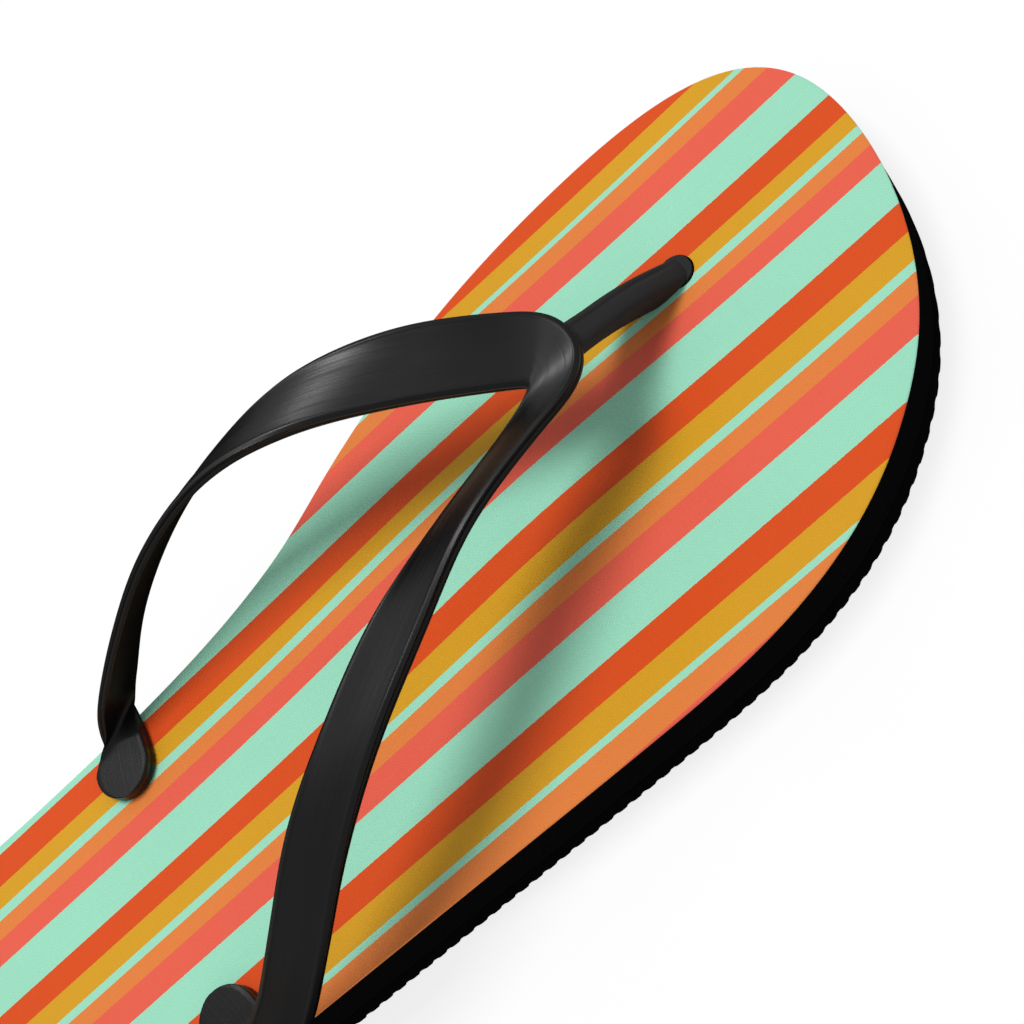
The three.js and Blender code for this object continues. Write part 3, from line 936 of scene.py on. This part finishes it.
class FLIPFLOP_OT_outsole(bpy.types.Operator):
    """Moulds the treaded rubber outsole"""

    bl_idname = "flipflop.outsole"
    bl_label = "Outsole"

    def execute(self, context):
        sole, finish = context.scene.flip_flop_sole, context.scene.flip_flop_finish
        bottom, top = layer_levels("outsole")
        r, line = sole.edge_round, sole.glue_line
        depth = sole.tread_depth
        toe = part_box("outsole")[1].y - sole.toe_land

        def tread(y):
            phase = (toe - y) / sole.tread_pitch
            near = np.abs(phase - np.round(phase)) * sole.tread_pitch
            groove = 1.0 - smoothstep(0.3 * MM, 1.0 * MM, near)
            inside = (phase > -0.5) & (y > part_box("outsole")[0].y + MM)
            return depth * groove * inside

        profile = [
            (line * 2.2, top, 0.0), (line * 1.1, top - 0.02 * MM, 0.0),
            (line * 0.4, top - line, 0.0), (0.0, top - 2.0 * line, 0.0),
            (0.0, bottom + 2.6 * MM, 0.0),
            (0.0, bottom + 1.5 * MM, 0.35), (0.0, bottom + r, 0.85),
            (r * 0.3, bottom + r * 0.3, 0.97), (r, bottom, 1.0), (r * 2.5, bottom, 1.0),
        ]
        piece = sole_layer("outsole_moulding", OUTSOLE_STEP, OUTSOLE_COLUMNS, profile, tread)
        drill(piece, sole.hole_radius, bottom - MM, top + MM)
        drill(piece, sole.recess_radius, bottom - MM, bottom + sole.recess_depth)
        sharpen(piece, 50)
        finish_piece(piece, moulded_rubber(finish), "outsole_rubber", "outsole")
        return {"FINISHED"}


class FLIPFLOP_OT_footbed(bpy.types.Operator):
    """Cuts the foam footbed"""

    bl_idname = "flipflop.footbed"
    bl_label = "Footbed"

    def execute(self, context):
        sole, finish = context.scene.flip_flop_sole, context.scene.flip_flop_finish
        bottom, top = layer_levels("footbed")
        line = sole.glue_line
        levels, pinch_depth = 9, 0.16 * MM
        heights = np.linspace(top - 0.25 * MM, bottom + 2.0 * line, levels)
        pinch = pinch_depth * np.sin(np.pi * np.linspace(0.0, 1.0, levels))
        profile = smooth_profile([
            (0.3 * MM, top), (0.05 * MM, top - 0.08 * MM), *zip(pinch, heights),
            (line * 0.4, bottom + line), (line * 1.1, bottom + 0.02 * MM), (line * 2.2, bottom),
        ])
        piece = sole_layer("footbed_foam", FOOTBED_STEP, FOOTBED_COLUMNS, profile)
        drill(piece, sole.hole_radius, bottom - MM, top + MM)
        sharpen(piece, 50)
        finish_piece(piece, cut_foam(finish), "footbed_foam", "footbed")
        return {"FINISHED"}


def cover_dip(x, y):
    """How far the cover is drawn down round the three holes and lies unevenly on the foam."""
    depth, spread = 0.18, 6.5
    drop = np.zeros_like(x)
    for across, ahead in HOLES:
        hole = placed((across, ahead, 0.0))
        far = np.hypot(x - hole[0], y - hole[1]) / MM
        drop += depth * np.exp(-((far / spread) ** 2))
    ripple = 0.03 * np.sin(x / MM / 7.3 + 1.3) * np.sin(y / MM / 11.9 + 0.4)
    ripple += 0.02 * np.sin(x / MM / 3.1 - y / MM / 17.0)
    return (drop + ripple) * MM


def print_shift(across, ahead):
    """How far the printed stripes stray towards the little toe from straight, in millimetres."""
    lean_at_toe, lean_at_heel, edge_lean = 0.2, -1.2, 3.0
    swell, swell_across, swell_spread = 2.0, 16.6, 11.8
    tug, tug_across, tug_back, tug_width, tug_length = -2.6, 10.5, 51.9, 18.9, 31.2
    to_heel = smoothstep(-5.0, 145.0, -ahead)
    rear = swell * np.exp(-0.5 * ((across - swell_across) / swell_spread) ** 2) + lean_at_heel
    rear += edge_lean * smoothstep(62.0, 67.0, across)
    sideways, lengthways = (across - tug_across) / tug_width, (ahead + tug_back) / tug_length
    pull = tug * np.exp(-0.5 * (sideways**2 + lengthways**2))
    return lean_at_toe * (1.0 - to_heel) + rear * to_heel + pull


class FLIPFLOP_OT_cover(bpy.types.Operator):
    """Lays the printed canvas cover on the footbed"""

    bl_idname = "flipflop.cover"
    bl_label = "Canvas cover"

    def execute(self, context):
        sole, finish = context.scene.flip_flop_sole, context.scene.flip_flop_finish
        bottom, top = layer_levels("fabric_cover")
        r = sole.cloth_round
        profile = smooth_profile([
            (r * 3.0, top), (r, top - 0.01 * MM), (r * 0.45, top - 0.05 * MM),
            (r * 0.12, top - 0.15 * MM), (0.0, top - 0.28 * MM), (0.02 * MM, bottom + 0.1 * MM),
            (0.12 * MM, bottom + 0.02 * MM), (r * 3.0, bottom + 0.02 * MM),
        ])
        piece = sole_layer("canvas_cover", COVER_STEP, COVER_COLUMNS, profile)
        mesh = piece.data
        points = points_of(mesh)
        upper = points[:, 2] > top - 0.06 * MM
        points[upper, 2] -= cover_dip(points[upper, 0], points[upper, 1])
        mesh.vertices.foreach_set("co", points.ravel())
        drill(piece, sole.hole_radius, bottom - MM, top + MM)
        sharpen(piece, 60)
        local = (points_of(piece.data) - hole_in_row_frame()) / MM
        add_coordinates(piece, "cloth", local[:, :2])
        shift = print_shift(local[:, 0], local[:, 1])
        add_coordinates(piece, "print", np.column_stack([local[:, 0] - shift, local[:, 1]]))
        finish_piece(piece, printed_canvas(finish), "cover_fabric", "fabric_cover")
        rows, left, right, *_ = sole_rows(COVER_STEP)
        return {"FINISHED"}


class FLIPFLOP_OT_strap(bpy.types.Operator):
    """Moulds the V strap with its two feet, necks and buttons"""

    bl_idname = "flipflop.strap"
    bl_label = "V strap"

    def execute(self, context):
        strap, finish = context.scene.flip_flop_strap, context.scene.flip_flop_finish
        parts = [strap_band(strap)]
        for hole in (MEDIAL_HOLE, LATERAL_HOLE):
            points, faces = turned(plug_profile(strap, 1.0), hole)
            parts.append((points, faces, points[:, [2, 0]]))
        points, faces, coordinates = join_parts(parts)
        piece = new_piece("strap_moulding", placed(points), faces)
        sharpen(piece, 55)
        add_coordinates(piece, "grain", coordinates)
        finish_piece(piece, brushed_vinyl(finish), "strap_plastic", "v_strap")
        return {"FINISHED"}


class FLIPFLOP_OT_toe_post(bpy.types.Operator):
    """Moulds the toe post with its neck and button"""

    bl_idname = "flipflop.toe_post"
    bl_label = "Toe post"

    def execute(self, context):
        strap, finish = context.scene.flip_flop_strap, context.scene.flip_flop_finish
        rings = post_rings(strap)
        rows, columns = rings.shape[:2]
        faces = grid_quads(rows, columns, closed=True)
        faces.append(list(range(columns - 1, -1, -1)))
        faces.append(list(range((rows - 1) * columns, rows * columns)))
        run = np.repeat(np.linspace(0.0, 36.0, rows), columns)
        around = np.tile(np.linspace(0.0, 34.0, columns), rows)
        parts = [(rings.reshape(-1, 3), faces, np.column_stack([run, around]))]
        points, plug_faces = turned(plug_profile(strap, 0.4), TOE_HOLE)
        parts.append((points, plug_faces, points[:, [2, 0]]))
        points, faces, coordinates = join_parts(parts)
        piece = new_piece("toe_post_moulding", placed(points), faces)
        sharpen(piece, 55)
        add_coordinates(piece, "grain", coordinates)
        # Painted light: the toe post gets a lightened copy of the strap's vinyl.
        finish_piece(piece, brushed_vinyl(finish, "post_vinyl", 1.0), "strap_plastic", "toe_post")
        return {"FINISHED"}


def add_light(name, place, size, power, shine_only):
    """A soft square light that faces the flip flop. A shine-only light gives the smooth strap
    its highlights and lights nothing else; the others leave no reflection."""
    data = bpy.data.lights.new(name, "AREA")
    data.size = size
    data.energy = power
    lamp = bpy.data.objects.new(name, data)
    lamp.location = place
    lamp.rotation_euler = (Vector(AIM) - Vector(place)).to_track_quat("-Z", "Y").to_euler()
    lamp.visible_diffuse = not shine_only
    lamp.visible_glossy = shine_only
    bpy.context.scene.collection.objects.link(lamp)


def dark_card(name, corners):
    """A black card just under the floor that only reflections see, so that the undersides of
    the glossy strap stay dark."""
    card = new_piece(name, corners, [[0, 1, 2, 3]])
    shade = Shade(name)
    black = (0.0, 0.0, 0.0, 1.0)
    shade.surface.inputs["Base Color"].default_value = black
    shade.surface.inputs["Specular IOR Level"].default_value = 0.0
    card.data.materials.append(shade.material)
    for ray in ("camera", "diffuse", "shadow", "transmission"):
        setattr(card, "visible_" + ray, False)


class FLIPFLOP_OT_stage(bpy.types.Operator):
    """Sets the pale floor, the soft lights and the camera"""

    bl_idname = "flipflop.stage"
    bl_label = "Stage"

    def execute(self, context):
        scene = context.scene
        data = bpy.data.cameras.new("view")
        data.lens, data.sensor_width = LENS, SENSOR
        data.clip_start, data.clip_end = 0.01, 20.0
        camera = bpy.data.objects.new("view", data)
        right, up = Vector(VIEW_RIGHT), Vector(VIEW_UP)
        back = right.cross(up)
        turn = Matrix((right, up, back)).transposed().to_4x4()
        camera.matrix_world = Matrix.Translation(VIEW_PLACE) @ turn
        scene.collection.objects.link(camera)
        scene.camera = camera
        half = 3.0
        corners = [(-half, -half, 0), (half, -half, 0), (half, half, 0), (-half, half, 0)]
        floor = new_piece("floor", np.array(corners) - (0, 0, 0.02 * MM), [[0, 1, 2, 3]])
        floor.data.materials.append(seamless_white())
        floor.visible_glossy = False
        dark_card("black_card", np.array(corners) - (0, 0, MM))
        for name, place, size, power, shine_only in LAMPS:
            add_light(name, place, size, power, shine_only)
        world = bpy.data.worlds.new("room")
        world.use_nodes = True
        world.node_tree.nodes["Background"].inputs[0].default_value = (1.0, 1.0, 1.0, 1.0)
        world.node_tree.nodes["Background"].inputs[1].default_value = 0.45
        scene.world = world
        scene.view_settings.view_transform = "Standard"
        return {"FINISHED"}


class FLIPFLOP_PT_parts(bpy.types.Panel):
    """Lists the flip flop's pieces"""

    bl_idname = "FLIPFLOP_PT_parts"
    bl_label = "Flip Flop"
    bl_space_type = "VIEW_3D"
    bl_region_type = "UI"
    bl_category = "Flip Flop"

    def draw(self, context):
        for operator in PIECES:
            self.layout.operator(operator.bl_idname)


PIECES = (
    FLIPFLOP_OT_outsole, FLIPFLOP_OT_footbed, FLIPFLOP_OT_cover, FLIPFLOP_OT_strap,
    FLIPFLOP_OT_toe_post, FLIPFLOP_OT_stage,
)
GROUPS = {
    "flip_flop_sole": FlipFlopSole,
    "flip_flop_strap": FlipFlopStrap,
    "flip_flop_finish": FlipFlopFinish,
}
CLASSES = (*GROUPS.values(), *PIECES, FLIPFLOP_PT_parts)


def register():
    for kind in CLASSES:
        bpy.utils.register_class(kind)
    for name, group in GROUPS.items():
        setattr(bpy.types.Scene, name, PointerProperty(type=group))


def unregister():
    for name in GROUPS:
        delattr(bpy.types.Scene, name)
    for kind in reversed(CLASSES):
        bpy.utils.unregister_class(kind)


def main():
    register()
    bpy.ops.flipflop.stage()
    bpy.ops.flipflop.outsole()
    bpy.ops.flipflop.footbed()
    bpy.ops.flipflop.cover()
    bpy.ops.flipflop.strap()
    bpy.ops.flipflop.toe_post()
    bpy.context.view_layer.update()


if __name__ == "__main__":
    main()
